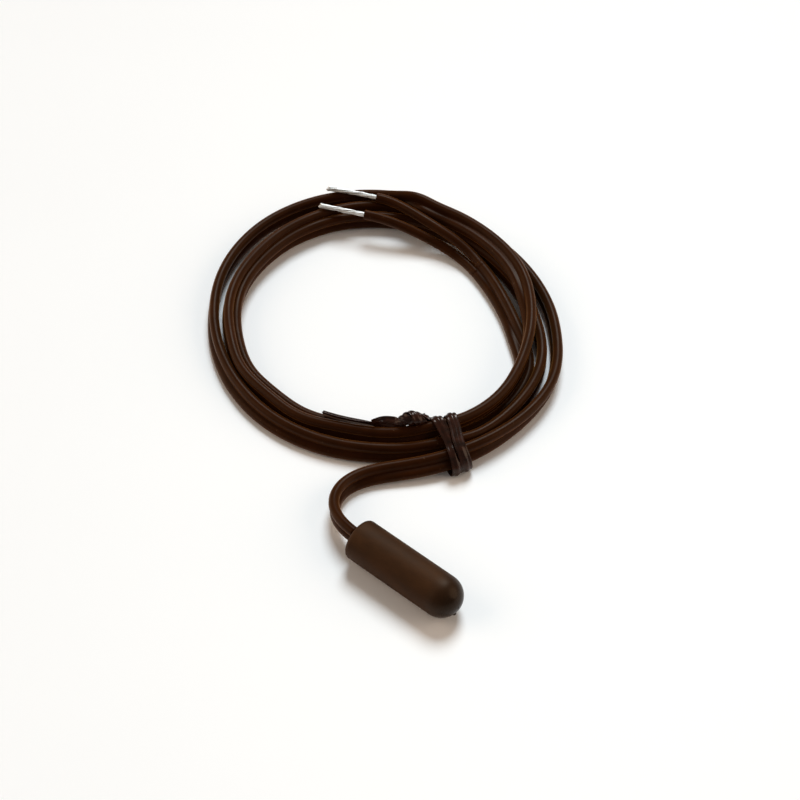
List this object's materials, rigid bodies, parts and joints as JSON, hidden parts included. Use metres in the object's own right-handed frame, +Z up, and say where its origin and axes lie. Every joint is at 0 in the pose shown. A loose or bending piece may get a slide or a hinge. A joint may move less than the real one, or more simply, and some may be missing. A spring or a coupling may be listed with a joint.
{
  "type": "thermistor probe",
  "caption": "Small moulded temperature probe: a domed black bulb on a flat twin lead, coiled and held by a twist tie, with bare tinned ends.",
  "frame": {"origin": "on the floor, under the middle of the bulb as it lies on its side", "axes": "+X along the bulb from its cable end to its domed tip, +Z up from the floor, the coiled lead lying behind and to the left of the cable end"},
  "size_m": [0.0681, 0.0615, 0.0062],
  "materials": {
    "bulb_resin": "matte moulded, faintly mottled",
    "bead_epoxy": "dipped, glossy",
    "chip_ceramic": "sintered ceramic",
    "tinned_wire": "tinned, drawn",
    "solder": "flowed solder",
    "sleeve_plastic": "thin clear-white tube",
    "lead_vinyl": "extruded vinyl, satin",
    "tinned_strand": "twisted and tinned, bright",
    "tie_plastic": "glossy extruded plastic over a wire"
  },
  "bodies": {
    "root": {"bulb": "bulb_resin", "bead_coating": "bead_epoxy", "thermistor_chip": "chip_ceramic", "upper_leg": "tinned_wire", "lower_leg": "tinned_wire", "upper_solder_joint": "solder", "lower_solder_joint": "solder", "upper_sleeve": "sleeve_plastic", "lower_sleeve": "sleeve_plastic", "upper_conductor": "tinned_wire", "lower_conductor": "tinned_wire", "lead_inner_end": "lead_vinyl", "lead_run": "lead_vinyl", "lead_coil": "lead_vinyl", "lead_tail": "lead_vinyl", "upper_core": "lead_vinyl", "lower_core": "lead_vinyl", "upper_bare_end": "tinned_strand", "lower_bare_end": "tinned_strand", "twist_tie": "tie_plastic"}
  },
  "joints": []
}
